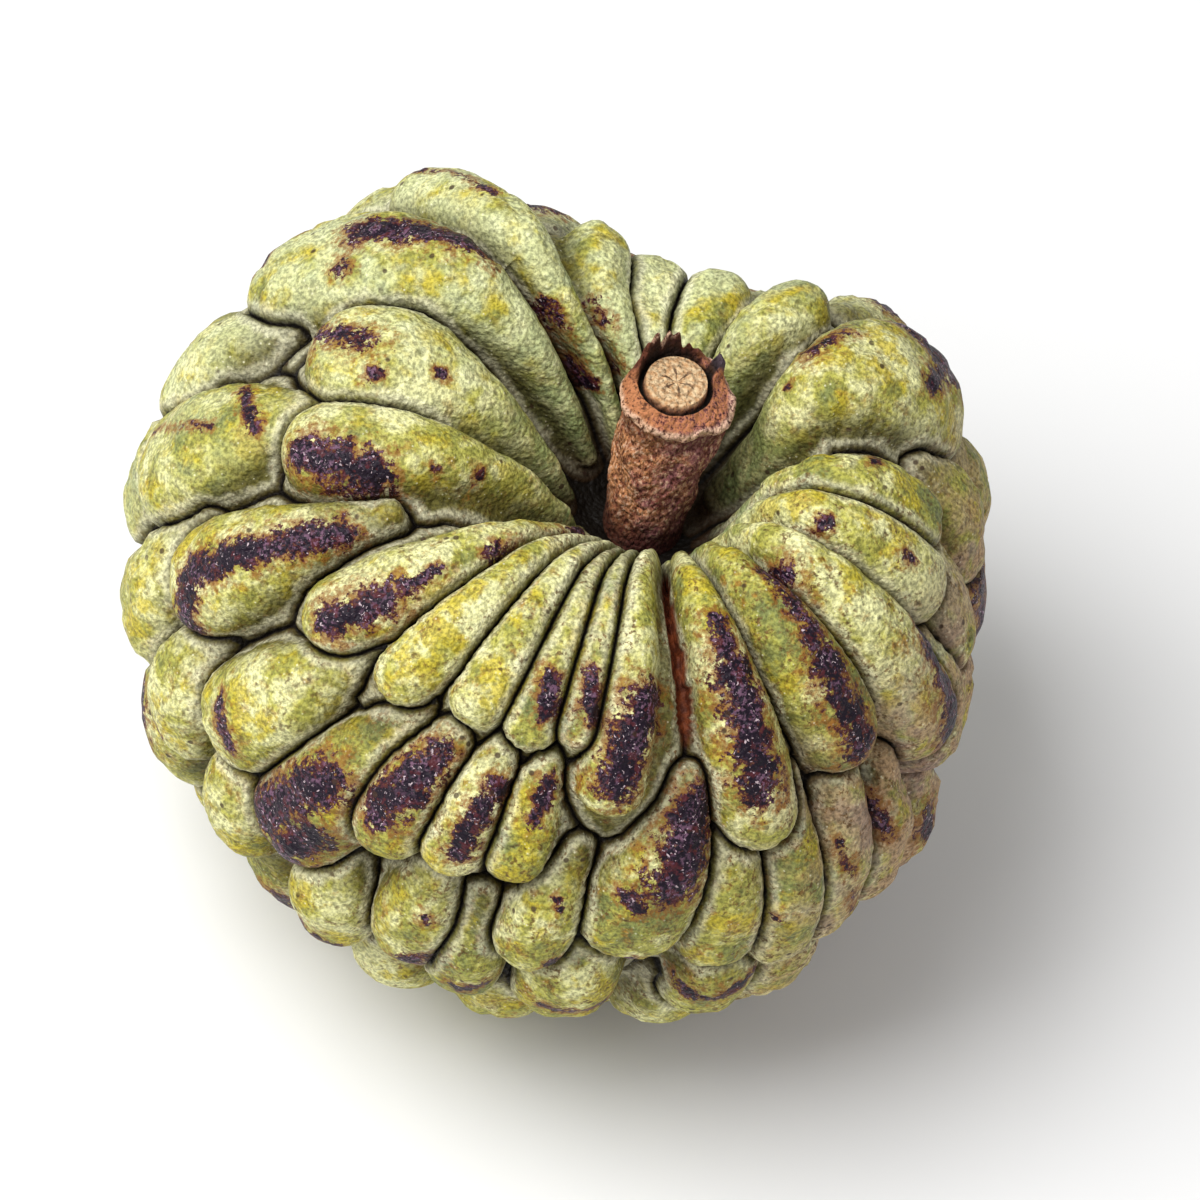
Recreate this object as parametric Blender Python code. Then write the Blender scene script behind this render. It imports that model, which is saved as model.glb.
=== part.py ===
"""Sugar apple: a knobbly fruit and its woody stalk, resting on a small flat spot.

The fruit starts as an icosphere. Its points are laid on a smooth body, which is a
turned outline with a wider or narrower reach round it. Each carpel is a rounded
dome along a spine on that body, and the skin is raised to the highest dome, so
neighbours meet in creases. The net is split where two domes meet, which keeps the
creases sharp with few faces.

Lengths in the tables are millimetres, angles are degrees, and azimuth 270 faces
the camera. Meshes are made in metres.
"""
import math

import bmesh
import bpy
import numpy as np

MM = 0.001

# Outline of the body over the tips of the carpels: radius and height, from the foot of
# the stalk in the pit, over the shoulder and the widest place, down to the blossom end
OUTLINE = ((0.0, 52.6), (5.0, 53.0), (6.5, 54.5), (9.0, 60.5), (13.0, 67.0), (19.0, 71.0),
           (26.0, 71.0), (34.0, 66.5), (41.0, 57.0), (44.5, 44.0), (43.0, 30.5), (36.5, 17.0),
           (26.0, 7.0), (15.0, 1.5), (8.0, 0.0), (0.0, 0.0))
STALK_FOOT_RADIUS = 5.0          # skin distances are counted from here, out and down
# Eight values each, at azimuths 0, 45 and so on: how far the side reaches as a share of
# the outline's radius, and how much the shoulder stands above or below the outline
REACH = (0.88, 0.94, 0.80, 1.06, 1.12, 1.10, 1.06, 1.01)
SHOULDER_RISE = (0.0, 0.0, -6.0, 3.0, 1.0, 0.0, 0.0, 0.0)
FULL_REACH_RADIUS = 40.0
SHOULDER_HEIGHT = 72.0
PIT_OFFSET = (2.6, 0.5)          # the pit's foot stands off the axis
PIT_SLIDE = (6, 26)              # the pit's offset fades out between these skin distances
SHOULDER_FROM = 6                # radii over which the shoulder's rise comes in
SHOULDER_TO = 20
FOOT_CUT = 0.9                   # the lowest crests are flat up to here
CENTRE = (-5.3, -4.8)            # middle of the fruit's box, moved over the origin

# Carpels read off the photograph: azimuth and skin distance of the root, azimuth and
# skin distance of the tip, and half of the greatest width
FIRST_WHORL = (
    (252, 3, 227, 46, 5.0), (257.5, 5, 242, 45, 3.7), (263, 6, 254.5, 43.5, 3.4),
    (268, 6, 263.5, 44, 3.2), (274, 6, 271.5, 43, 3.1), (281, 6, 277.5, 49.5, 3.7),
    (291.5, 5, 300.5, 56, 4.9), (302, 3, 317, 51.5, 5.5), (317, 3, 336, 61, 5.8),
    (332, 3, 348, 48.5, 5.2), (349, 3, 358, 45, 5.2), (26, 3, 33, 54, 9.6),
    (66, 3, 59, 35, 4.4), (82, 3, 79, 35, 3.6), (95, 3, 92, 36, 3.3),
    (106, 3, 105, 36, 3.6), (122, 3, 133, 48, 5.8), (147, 3, 157.5, 53, 9.2),
    (185, 3, 179, 38, 7.0), (219, 3, 198, 40, 5.8),
)
LOWER_CARPELS = (
    (190, 33, 187, 62, 8.0), (168, 42, 172, 64, 6.6), (216, 31, 207, 59, 6.8),
    (197, 52, 200, 73, 6.2), (234, 41, 224, 66, 6.8), (212, 56, 213, 76, 6.2),
    (246, 43, 237, 72, 6.9), (253.5, 42, 249, 62, 5.2), (261, 41.5, 258, 60.5, 4.1),
    (268, 41.5, 266, 59.5, 3.7), (290, 47, 283.5, 70.5, 6.8), (274, 55, 270.5, 73, 4.6),
    (257, 59, 255, 81, 5.6), (243, 67, 243, 85, 5.8), (226, 62, 227, 81, 5.8),
    (263, 64, 262, 85, 4.8), (278, 66, 276, 87, 6.2), (297, 52, 296, 74, 5.4),
    (306, 49, 305, 76, 4.8), (317, 49, 312, 77, 5.8), (327, 56, 322, 76, 5.2),
    (343, 46, 341, 67, 6.0), (357, 41, 352, 61, 6.0), (15, 44, 11, 62, 6.2),
    (298, 70, 297, 88, 5.8), (309, 72, 308, 90, 5.6),
)
# Rows that the photograph doesn't show: root and tip distance, half width, how many fit
# round the whole fruit, and the first and last azimuth that the row fills, where azimuths
# beyond 360 start a second turn
HIDDEN_ROWS = (
    (44, 66, 7.0, 19, 44, 148), (51, 75, 7.0, 19, 334, 545), (67, 90, 6.7, 19, 324, 577),
    (83, 104, 6.2, 18, 0, 359), (97, 115, 5.6, 15, 0, 359), (108, 124, 4.9, 11, 0, 359),
    (119, 131, 3.9, 6, 0, 359),
)
BLOSSOM_END = (0, 132, 0, 137, 3.6)

# How a carpel's crest and width start at its root, as shares, and how much crests vary
FIRST_ROOT = (0.75, 0.7)
LOWER_ROOT = (0.4, 0.45)
END_ROOT = (0.9, 0.9)
FIRST_VARIETY = 0.08
LOWER_VARIETY = 0.1
HIDDEN_DRIFT = 0.12              # hidden carpels stray by this share of their spacing
HIDDEN_SLIP = 1.5                # and by this much up or down
HIDDEN_SWING = 2                 # and their tips swing by this many degrees
ROUND_END = 0.85                 # the spine stops this share of a half width short of the tip
WIDTH_RISE = (-0.1, 0.85)        # shares of the spine over which the width grows
CREST_RISE = (0, 0.7)            # and over which the crest grows
REACH_OF_DOME = 2.2              # half widths beyond which a carpel isn't looked at
LEAST_FULLNESS = 0.5
PIT_FADE = (-2, 14)              # skin distances over which the relief grows out of the pit
END_FADE = (85, 130)             # and over which it shrinks to the blossom end

RELIEF = 5.0                     # from groove floor to crest on the open sides
PIT_RELIEF = 0.5
END_RELIEF = 2.6
DOME_POWER = 2.2
DOME_EDGE = 0.5
SEED = 11

# Outline of the stalk: radius, and height above the foot of the pit. The first three
# points are the round foot in its socket, and the last ones the cut end with the gap
# between bark and wood
STALK_OUTLINE = ((0.0, -3.0), (4.1, -3.0), (4.1, 0.6), (4.2, 3.0), (4.4, 6.0), (4.6, 9.0), (4.7, 12.0),
                 (4.6, 15.4), (4.7, 17.2), (5.2, 17.8), (5.3, 18.4), (4.9, 19.0), (4.3, 19.6), (3.9, 20.0),
                 (3.7, 19.2), (3.3, 19.2), (3.1, 20.4), (1.4, 20.5), (0.0, 20.3))
STALK_SIDES = 28
STALK_LEAN = (1.0, 6.0)          # degrees towards +X and towards +Y
BARK_FROM = (0.6, 3)             # heights over which the bark's relief comes in
BARK_RADIUS = (3.8, 4.1)         # and radii over which it does
BARK_RIDGE = 0.15
# Waves round the bark: how many, their turn per millimetre of height, start and strength
BARK_WAVES = ((5, 0.5, 0, 1.0), (9, -0.8, 1, 0.7), (3, 1.1, 2, 0.6))
BULGE_AZIMUTH = 5                # where the bark swells under the cut end
BULGE = 1.1
BULGE_FROM = (8, 14)
BULGE_TO = (18, 19.8)
TORN_RIM_AZIMUTH = 122
TORN_RIM_HEIGHT = 3.0
TORN_RIM_FROM = (18.5, 19.8)
RIM_RADIUS = (3.6, 3.85)
TORN_TEETH = 11
TOOTH_SHARE = 0.25
SOCKET_GAP = 0.3
SOCKET_TOP = 4.0                 # how far the socket's cutter stands above the pit's foot

NET_LEVEL = 5
FINE_CAP_ANGLE = 32.0
TOP_WEIGHT = 1.9                 # how closely the net is drawn over the top and lower down
LOW_WEIGHT = 0.8
OUTLINE_SAMPLES = 1500
TOP_FADE = (30, 70)              # skin distances over which the net gets coarser
CUT_STEPS = 6                    # halvings that find where an edge crosses a crease
SPINE_POINTS = 9
NORMAL_STEP = 0.01
GROOVE_FLOOR = -0.45
SKIRT_SLOPE = 0.3
FULL_HALF_WIDTH = 5.5            # narrower carpels stand less proud
CUT_MARGIN = 0.12                # no cut nearer than this share of an edge to its end


def smooth_curve(knots, points, where):
    """Values read off a smooth cubic through the points at the knots."""
    knots, points = np.asarray(knots, float), np.asarray(points, float)
    slopes = np.gradient(points, knots, axis=0)
    left = np.clip(np.searchsorted(knots, where) - 1, 0, len(knots) - 2)
    gap = knots[left + 1] - knots[left]
    share = (where - knots[left]) / gap
    if points.ndim > 1:
        gap, share = gap[:, None], share[:, None]
    rest = 1 - share
    ends = points[left] * rest ** 2 * (1 + 2 * share) + points[left + 1] * share ** 2 * (3 - 2 * share)
    return ends + gap * share * rest * (slopes[left] * rest - slopes[left + 1] * share)


def smooth_step(low, high, value):
    """A smooth rise from 0 to 1 as the value goes from low to high."""
    share = np.clip((value - low) / (high - low), 0, 1)
    return share * share * (3 - 2 * share)


def unit(vectors):
    """The vectors at length 1."""
    return vectors / np.linalg.norm(vectors, axis=1, keepdims=True)


def around(values, azimuth):
    """A smooth closed curve through values given every 45 degrees, read at the azimuths."""
    step = 360 / len(values)
    padded = values[-2:] + values + values[:3]
    knots = step * np.arange(-2, len(values) + 3)
    return smooth_curve(knots, padded, np.mod(azimuth, 360))


class Body:
    """The smooth body under the carpels, in millimetres."""

    def __init__(self):
        outline = np.array(OUTLINE)
        knots = np.concatenate(([0], np.cumsum(np.hypot(*np.diff(outline, axis=0).T))))
        curve = smooth_curve(knots, outline, np.linspace(0, knots[-1], OUTLINE_SAMPLES))
        curve[:, 0] = np.maximum(curve[:, 0], 0)
        self.radius, self.height = curve.T
        steps = np.hypot(*np.diff(curve, axis=0).T)
        length = np.concatenate(([0], np.cumsum(steps)))
        foot = length[np.argmax(self.radius > STALK_FOOT_RADIUS)]
        self.distance = length - foot
        weight = TOP_WEIGHT + (LOW_WEIGHT - TOP_WEIGHT) * smooth_step(*TOP_FADE, self.distance[1:])
        area = steps * (self.radius[1:] + self.radius[:-1]) * weight
        share = np.concatenate(([0], np.cumsum(area))) / area.sum()
        self.polar = np.arccos(1 - 2 * np.minimum(share, 1))

    def point(self, azimuth, distance):
        """Points at the azimuths and skin distances."""
        radius = np.interp(distance, self.distance, self.radius)
        height = np.interp(distance, self.distance, self.height)
        reach = 1 + (around(REACH, azimuth) - 1) * np.clip(radius / FULL_REACH_RADIUS, 0, 1)
        high = np.clip(height / SHOULDER_HEIGHT, 0, 1) ** 2
        high *= np.clip((radius - SHOULDER_FROM) / (SHOULDER_TO - SHOULDER_FROM), 0, 1)
        turn = np.radians(azimuth)
        inside = 1 - smooth_step(*PIT_SLIDE, distance)
        return np.stack((radius * reach * np.cos(turn) + PIT_OFFSET[0] * inside,
                         radius * reach * np.sin(turn) + PIT_OFFSET[1] * inside,
                         height + around(SHOULDER_RISE, azimuth) * high), axis=-1)

    def place(self, directions):
        """Azimuths and skin distances of unit directions, which land closer together over the top."""
        azimuth = np.degrees(np.arctan2(directions[:, 1], directions[:, 0]))
        polar = np.arccos(np.clip(directions[:, 2], -1, 1))
        return azimuth, np.interp(polar, self.polar, self.distance)

    def normals(self, directions):
        """Outward normals of the body where the unit directions land."""
        side = np.cross(directions, np.roll(directions, 1, axis=1) + (0.3, 0.1, 0.2))
        side /= np.linalg.norm(side, axis=1, keepdims=True)
        slopes = []
        for tangent in (side, np.cross(directions, side)):
            ends = [unit(directions + way * NORMAL_STEP * tangent) for way in (1, -1)]
            slopes.append(self.point(*self.place(ends[0])) - self.point(*self.place(ends[1])))
        return unit(np.cross(slopes[0], slopes[1]))


BODY = Body()


class Carpels:
    """The spines and sizes of all carpels, and the height of their domes over any point."""

    def __init__(self):
        draw = np.random.default_rng(SEED)
        self.spines, self.widths, self.crests = [], [], []
        self.fullness, self.middles, self.spans = [], [], []
        for row in FIRST_WHORL:
            self.add(row, FIRST_ROOT, 1 + FIRST_VARIETY * draw.uniform(-1, 1))
        for row in LOWER_CARPELS:
            self.add(row, LOWER_ROOT, 1 + LOWER_VARIETY * draw.uniform(-1, 1))
        for index, (root, tip, half_width, count, first, last) in enumerate(HIDDEN_ROWS):
            places = 360 / count * (np.arange(2 * count) + 0.5 * (index % 2))
            for azimuth in places[(places >= first) & (places <= last)]:
                azimuth += HIDDEN_DRIFT * draw.uniform(-1, 1) * 360 / count
                slip = HIDDEN_SLIP * draw.uniform(-1, 1)
                swing = HIDDEN_SWING * draw.uniform(-1, 1)
                row = (azimuth, root + slip, azimuth + swing, tip + slip, half_width)
                self.add(row, LOWER_ROOT, 1 + LOWER_VARIETY * draw.uniform(-1, 1))
        self.add(BLOSSOM_END, END_ROOT, 1.0)

    def add(self, row, at_root, proud):
        """One carpel: narrow and low at its root, broad and proud at its rounded tip."""
        root_azimuth, root_distance, tip_azimuth, tip_distance, half_width = row
        root_crest, root_width = at_root
        share = np.linspace(0, 1, SPINE_POINTS)
        end = max(tip_distance - ROUND_END * half_width, root_distance + 1)
        spine = BODY.point(root_azimuth + (tip_azimuth - root_azimuth) * share,
                           root_distance + (end - root_distance) * share)
        self.spines.append(spine)
        spread = np.hypot(spine[:, 0], spine[:, 1])
        spread = np.clip(spread / spread[-2], 0, 1)
        taper = root_width + (1 - root_width) * smooth_step(*WIDTH_RISE, share)
        self.widths.append(half_width * taper * spread)
        self.fullness.append(np.clip(half_width / FULL_HALF_WIDTH, LEAST_FULLNESS, 1))
        self.crests.append(proud * (root_crest + (1 - root_crest) * smooth_step(*CREST_RISE, share)))
        middle = spine.mean(axis=0)
        self.middles.append(middle)
        self.spans.append(np.linalg.norm(spine - middle, axis=1).max() + REACH_OF_DOME * half_width)

    def heights(self, points):
        """Height of every dome over every point, as shares of the relief. The last column is
        the floor of the grooves."""
        table = np.full((len(points), len(self.spines) + 1), -1.0)
        table[:, -1] = GROOVE_FLOOR
        for number, spine in enumerate(self.spines):
            near = np.linalg.norm(points - self.middles[number], axis=1) < self.spans[number]
            spots = points[near]
            ratio = np.full(len(spots), np.inf)
            crest = np.ones(len(spots))
            widths, crests = self.widths[number], self.crests[number]
            for step in range(SPINE_POINTS - 1):
                axis = spine[step + 1] - spine[step]
                share = np.clip((spots - spine[step]) @ axis / (axis @ axis), 0, 1)
                aside = np.linalg.norm(spots - spine[step] - share[:, None] * axis, axis=1)
                here = aside / (widths[step] + share * (widths[step + 1] - widths[step]))
                closer = here < ratio
                ratio[closer] = here[closer]
                crest[closer] = (crests[step] + share * (crests[step + 1] - crests[step]))[closer]
            dome = np.maximum(1 - ratio ** DOME_POWER, 0) ** DOME_EDGE
            foot = crest * (1 - self.fullness[number])
            above = foot + (crest - foot) * dome
            table[near, number] = np.where(ratio < 1, above, foot + SKIRT_SLOPE * (1 - ratio))
        return table


CARPELS = Carpels()


def relief(distance):
    """Depth from crest to groove floor: less in the pit and at the blossom end."""
    open_side = PIT_RELIEF + (RELIEF - PIT_RELIEF) * smooth_step(*PIT_FADE, distance)
    return open_side + (END_RELIEF - RELIEF) * smooth_step(*END_FADE, distance)


def highest_dome(directions):
    """The number and the height of the highest dome where the directions land."""
    heights = CARPELS.heights(BODY.point(*BODY.place(unit(directions))))
    return heights.argmax(axis=1), heights.max(axis=1)


def make_net():
    """A unit icosphere with a finer net over the top, where the carpels are narrow."""
    net = bmesh.new()
    bmesh.ops.create_icosphere(net, subdivisions=NET_LEVEL, radius=1.0)
    lowest = math.cos(math.radians(FINE_CAP_ANGLE))
    cap = [edge for edge in net.edges if min(vert.co.z for vert in edge.verts) > lowest]
    bmesh.ops.subdivide_edges(net, edges=cap, cuts=1, use_grid_fill=True)
    bmesh.ops.triangulate(net, faces=net.faces[:])
    return net


def cut_along_creases(net):
    """Splits the net where the highest dome changes from one carpel to the next."""
    owner, _ = highest_dome(np.array([vert.co for vert in net.verts]))
    net.verts.index_update()
    crossed = [edge for edge in net.edges if owner[edge.verts[0].index] != owner[edge.verts[1].index]]
    starts = np.array([edge.verts[0].co for edge in crossed])
    ways = np.array([edge.verts[1].co for edge in crossed]) - starts
    home = np.array([owner[edge.verts[0].index] for edge in crossed])
    low, high = np.zeros(len(crossed)), np.ones(len(crossed))
    for _ in range(CUT_STEPS):
        middle = (low + high) / 2
        here, _ = highest_dome(starts + ways * middle[:, None])
        low = np.where(here == home, middle, low)
        high = np.where(here == home, high, middle)
    cuts = []
    for edge, share in zip(crossed, np.clip(low, CUT_MARGIN, 1 - CUT_MARGIN)):
        cuts.append(bmesh.utils.edge_split(edge, edge.verts[0], share)[1])
    bmesh.ops.connect_verts(net, verts=cuts)
    bmesh.ops.triangulate(net, faces=net.faces[:])


def raise_skin(net):
    """Lays the net on the body and raises it to the highest dome at each point."""
    directions = unit(np.array([vert.co for vert in net.verts]))
    _, height = highest_dome(directions)
    azimuth, distance = BODY.place(directions)
    points = BODY.point(azimuth, distance)
    points += BODY.normals(directions) * (relief(distance) * (height - 1))[:, None]
    points[:, 2] = np.maximum(points[:, 2] - FOOT_CUT, 0)
    points[:, :2] -= CENTRE
    for vert, point in zip(net.verts, points):
        vert.co = point * MM


def add_object(name, net, material, collection):
    """A mesh object from a bmesh, with outward faces and one material."""
    bmesh.ops.recalc_face_normals(net, faces=net.faces[:])
    mesh = bpy.data.meshes.new(name)
    net.to_mesh(mesh)
    net.free()
    mesh.materials.append(material)
    made = bpy.data.objects.new(name, mesh)
    collection.objects.link(made)
    return made


def make_material(name, colour, roughness):
    """A plain Principled material."""
    material = bpy.data.materials.new(name)
    material.use_nodes = True
    shader = material.node_tree.nodes["Principled BSDF"]
    shader.inputs["Base Color"].default_value = (*colour, 1)
    shader.inputs["Roughness"].default_value = roughness
    shader.inputs["Metallic"].default_value = 0
    return material


def make_fruit(collection):
    net = make_net()
    cut_along_creases(net)
    raise_skin(net)
    return add_object("fruit", net, make_material("fruit_skin", (0.36, 0.38, 0.13), 0.6), collection)


def pit_foot():
    """The middle of the pit's floor, where the stalk stands."""
    return np.array((PIT_OFFSET[0] - CENTRE[0], PIT_OFFSET[1] - CENTRE[1], OUTLINE[1][1] - FOOT_CUT))


def cut_socket(fruit, cutters):
    """A round socket for the stalk's foot in the floor of the pit."""
    foot_radius, foot_depth = STALK_OUTLINE[1]
    depth = SOCKET_TOP - foot_depth + SOCKET_GAP
    net = bmesh.new()
    bmesh.ops.create_cone(net, cap_ends=True, segments=STALK_SIDES, radius1=(foot_radius + SOCKET_GAP) * MM,
                          radius2=(foot_radius + SOCKET_GAP) * MM, depth=depth * MM)
    cutter = add_object("socket_cutter", net, fruit.data.materials[0], cutters)
    cutter.location = (pit_foot() + (0, 0, SOCKET_TOP - depth / 2)) * MM
    cutter.hide_render = True
    cutter.display_type = "WIRE"
    cut = fruit.modifiers.new("socket", "BOOLEAN")
    cut.operation = "DIFFERENCE"
    cut.solver = "EXACT"
    cut.object = cutter


def bark(points):
    """Lays the spun stalk's points out along its lean, with ridged bark, a bulge and a torn rim."""
    turn = np.arctan2(points[:, 1], points[:, 0])
    radius = np.hypot(points[:, 0], points[:, 1])
    height = points[:, 2].copy()
    outside = smooth_step(*BARK_FROM, height) * smooth_step(*BARK_RADIUS, radius)
    ridges = sum(strength * np.sin(count * turn + twist * height + start)
                 for count, twist, start, strength in BARK_WAVES)
    bulge = np.clip(np.cos(turn - math.radians(BULGE_AZIMUTH)), 0, 1) ** 2
    bulge *= smooth_step(*BULGE_FROM, height) * (1 - smooth_step(*BULGE_TO, height)) * outside
    torn = np.clip(np.cos(turn - math.radians(TORN_RIM_AZIMUTH)), 0, 1) ** 2
    torn *= 1 + TOOTH_SHARE * np.sin(TORN_TEETH * turn)
    torn *= smooth_step(*TORN_RIM_FROM, height) * smooth_step(*RIM_RADIUS, radius)
    lean = np.tan(np.radians(STALK_LEAN)) * np.clip(height, 0, None)[:, None]
    radius = radius + BARK_RIDGE * ridges * outside + BULGE * bulge
    height += TORN_RIM_HEIGHT * torn
    return np.column_stack((radius * np.cos(turn) + lean[:, 0], radius * np.sin(turn) + lean[:, 1], height))


def make_stem(collection):
    """The stalk: its outline spun round, then roughened into bark."""
    net = bmesh.new()
    spots = [net.verts.new((radius, 0, height)) for radius, height in STALK_OUTLINE]
    for start, end in zip(spots, spots[1:]):
        net.edges.new((start, end))
    bmesh.ops.spin(net, geom=net.verts[:] + net.edges[:], axis=(0, 0, 1), cent=(0, 0, 0),
                   angle=math.tau, steps=STALK_SIDES, use_merge=True)
    bmesh.ops.remove_doubles(net, verts=net.verts[:], dist=0.001)
    bmesh.ops.triangulate(net, faces=net.faces[:])
    points = bark(np.array([vert.co for vert in net.verts]))
    for vert, point in zip(net.verts, points + pit_foot()):
        vert.co = point * MM
    return add_object("stem", net, make_material("stalk_bark", (0.42, 0.22, 0.13), 0.85), collection)


def clear_scene():
    for item in list(bpy.data.objects):
        bpy.data.objects.remove(item)


def new_collection(name):
    collection = bpy.data.collections.new(name)
    bpy.context.scene.collection.children.link(collection)
    return collection


def main():
    clear_scene()
    parts = new_collection("sugar_apple")
    cutters = new_collection("cutters")
    fruit = make_fruit(parts)
    cut_socket(fruit, cutters)
    make_stem(parts)


main()
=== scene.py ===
"""Sugar apple: the finished look of the fruit and its stalk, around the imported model.

The fruit's skin is made as in the part's source, by the same outline and the same
carpels, on a finer net and with small lumps. Lengths in the tables are millimetres,
angles are degrees, azimuth 270 faces the camera, and meshes are made in metres.
"""
import math

import bmesh
import bpy
import numpy as np
from mathutils import Matrix, Vector, noise
from mathutils.kdtree import KDTree


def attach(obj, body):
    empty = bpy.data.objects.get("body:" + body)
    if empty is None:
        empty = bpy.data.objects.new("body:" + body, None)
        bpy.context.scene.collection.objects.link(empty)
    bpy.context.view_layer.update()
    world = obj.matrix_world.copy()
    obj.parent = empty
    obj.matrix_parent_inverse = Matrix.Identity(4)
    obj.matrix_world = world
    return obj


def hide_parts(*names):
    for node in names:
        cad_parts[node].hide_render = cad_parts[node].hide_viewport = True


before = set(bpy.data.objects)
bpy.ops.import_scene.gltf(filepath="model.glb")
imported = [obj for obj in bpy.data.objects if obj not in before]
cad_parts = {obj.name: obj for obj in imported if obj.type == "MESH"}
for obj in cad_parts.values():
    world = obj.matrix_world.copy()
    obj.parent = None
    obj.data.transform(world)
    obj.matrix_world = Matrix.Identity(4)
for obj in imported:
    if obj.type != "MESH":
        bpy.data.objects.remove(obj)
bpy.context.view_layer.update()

MM = 0.001

# Outline of the body over the tips of the carpels: radius and height, from the foot of
# the stalk in the pit, over the shoulder and the widest place, down to the blossom end
OUTLINE = ((0.0, 52.6), (5.0, 53.0), (6.5, 54.5), (9.0, 60.5), (13.0, 67.0), (19.0, 71.0),
           (26.0, 71.0), (34.0, 66.5), (41.0, 57.0), (44.5, 44.0), (43.0, 30.5), (36.5, 17.0),
           (26.0, 7.0), (15.0, 1.5), (8.0, 0.0), (0.0, 0.0))
STALK_FOOT_RADIUS = 5.0          # skin distances are counted from here, out and down
# Eight values each, at azimuths 0, 45 and so on: how far the side reaches as a share of
# the outline's radius, and how much the shoulder stands above or below the outline
REACH = (0.88, 0.94, 0.80, 1.06, 1.12, 1.10, 1.06, 1.01)
SHOULDER_RISE = (0.0, 0.0, -6.0, 3.0, 1.0, 0.0, 0.0, 0.0)
FULL_REACH_RADIUS = 40.0
SHOULDER_HEIGHT = 72.0
PIT_OFFSET = (2.6, 0.5)          # the pit's foot stands off the axis
PIT_SLIDE = (6, 26)              # the pit's offset fades out between these skin distances
SHOULDER_FROM = 6                # radii over which the shoulder's rise comes in
SHOULDER_TO = 20
FOOT_CUT = 0.9                   # the lowest crests are flat up to here
CENTRE = (-5.3, -4.8)            # middle of the fruit's box, moved over the origin

# Carpels read off the photograph: azimuth and skin distance of the root, azimuth and
# skin distance of the tip, and half of the greatest width
FIRST_WHORL = (
    (252, 3, 227, 46, 5.0), (257.5, 5, 242, 45, 3.7), (263, 6, 254.5, 43.5, 3.4),
    (268, 6, 263.5, 44, 3.2), (274, 6, 271.5, 43, 3.1), (281, 6, 277.5, 49.5, 3.7),
    (291.5, 5, 300.5, 56, 4.9), (302, 3, 317, 51.5, 5.5), (317, 3, 336, 61, 5.8),
    (332, 3, 348, 48.5, 5.2), (349, 3, 358, 45, 5.2), (26, 3, 33, 54, 9.6),
    (66, 3, 59, 35, 4.4), (82, 3, 79, 35, 3.6), (95, 3, 92, 36, 3.3),
    (106, 3, 105, 36, 3.6), (122, 3, 133, 48, 5.8), (147, 3, 157.5, 53, 9.2),
    (185, 3, 179, 38, 7.0), (219, 3, 198, 40, 5.8),
)
LOWER_CARPELS = (
    (190, 33, 187, 62, 8.0), (168, 42, 172, 64, 6.6), (216, 31, 207, 59, 6.8),
    (197, 52, 200, 73, 6.2), (234, 41, 224, 66, 6.8), (212, 56, 213, 76, 6.2),
    (246, 43, 237, 72, 6.9), (253.5, 42, 249, 62, 5.2), (261, 41.5, 258, 60.5, 4.1),
    (268, 41.5, 266, 59.5, 3.7), (290, 47, 283.5, 70.5, 6.8), (274, 55, 270.5, 73, 4.6),
    (257, 59, 255, 81, 5.6), (243, 67, 243, 85, 5.8), (226, 62, 227, 81, 5.8),
    (263, 64, 262, 85, 4.8), (278, 66, 276, 87, 6.2), (297, 52, 296, 74, 5.4),
    (306, 49, 305, 76, 4.8), (317, 49, 312, 77, 5.8), (327, 56, 322, 76, 5.2),
    (343, 46, 341, 67, 6.0), (357, 41, 352, 61, 6.0), (15, 44, 11, 62, 6.2),
    (298, 70, 297, 88, 5.8), (309, 72, 308, 90, 5.6),
)
# Rows that the photograph doesn't show: root and tip distance, half width, how many fit
# round the whole fruit, and the first and last azimuth that the row fills
HIDDEN_ROWS = (
    (44, 66, 7.0, 19, 44, 148), (51, 75, 7.0, 19, 334, 545), (67, 90, 6.7, 19, 324, 577),
    (83, 104, 6.2, 18, 0, 359), (97, 115, 5.6, 15, 0, 359), (108, 124, 4.9, 11, 0, 359),
    (119, 131, 3.9, 6, 0, 359),
)
BLOSSOM_END = (0, 132, 0, 137, 3.6)

# How a carpel's crest and width start at its root, as shares, and how much crests vary
FIRST_ROOT = (0.75, 0.7)
LOWER_ROOT = (0.4, 0.45)
END_ROOT = (0.9, 0.9)
FIRST_VARIETY = 0.08
LOWER_VARIETY = 0.1
HIDDEN_DRIFT = 0.12              # hidden carpels stray by this share of their spacing
HIDDEN_SLIP = 1.5                # and by this much up or down
HIDDEN_SWING = 2                 # and their tips swing by this many degrees
ROUND_END = 0.85                 # the spine stops this share of a half width short of the tip
WIDTH_RISE = (-0.1, 0.85)        # shares of the spine over which the width grows
CREST_RISE = (0, 0.7)            # and over which the crest grows
REACH_OF_DOME = 2.2              # half widths beyond which a carpel isn't looked at
LEAST_FULLNESS = 0.5
PIT_FADE = (-2, 14)              # skin distances over which the relief grows out of the pit
END_FADE = (85, 130)             # and over which it shrinks to the blossom end

RELIEF = 5.0                     # from the foot of a dome to its crest on the open sides
PIT_RELIEF = 0.5
END_RELIEF = 2.6
DOME_POWER = 2.2
DOME_EDGE = 0.5
SEED = 11

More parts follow.
